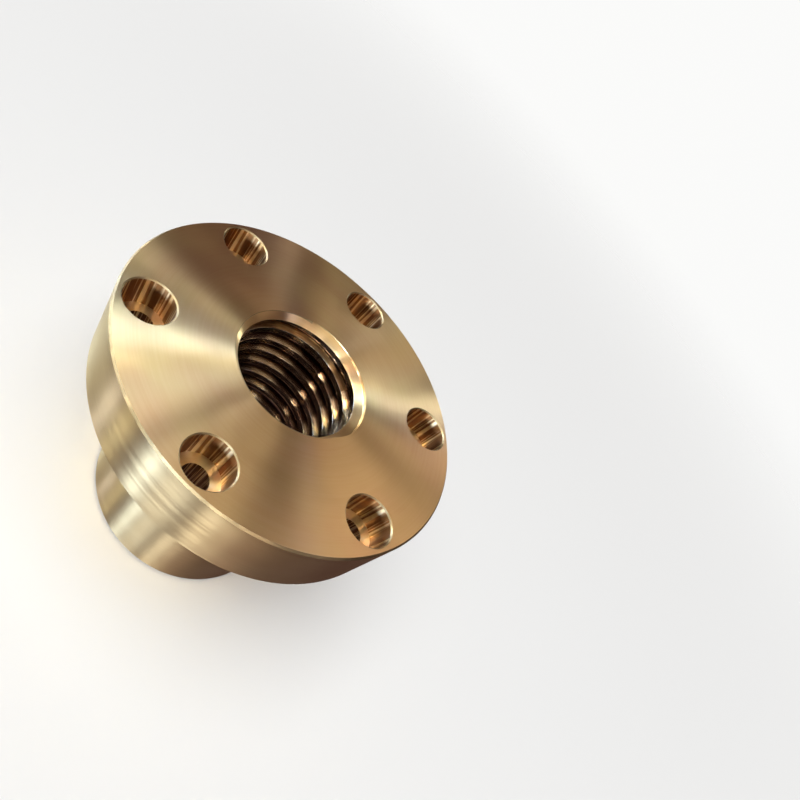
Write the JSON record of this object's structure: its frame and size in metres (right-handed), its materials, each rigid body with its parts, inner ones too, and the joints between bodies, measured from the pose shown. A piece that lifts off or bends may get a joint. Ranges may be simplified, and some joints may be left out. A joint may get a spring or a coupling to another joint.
{
  "type": "lead screw nut",
  "caption": "Round flanged lead screw nut with a threaded through bore, a cylindrical barrel and a ring of counterbored screw holes in the flange.",
  "frame": {"origin": "centre of the end face of the barrel, which the nut stands on", "axes": "+Z along the thread axis, from the barrel towards the front face of the flange; two of the six screw holes lie on the Y axis"},
  "size_m": [0.06, 0.06, 0.045],
  "materials": {
    "bronze": "bare turned metal, satin with fine tool marks"
  },
  "bodies": {
    "root": {"nut": "bronze"}
  },
  "joints": []
}
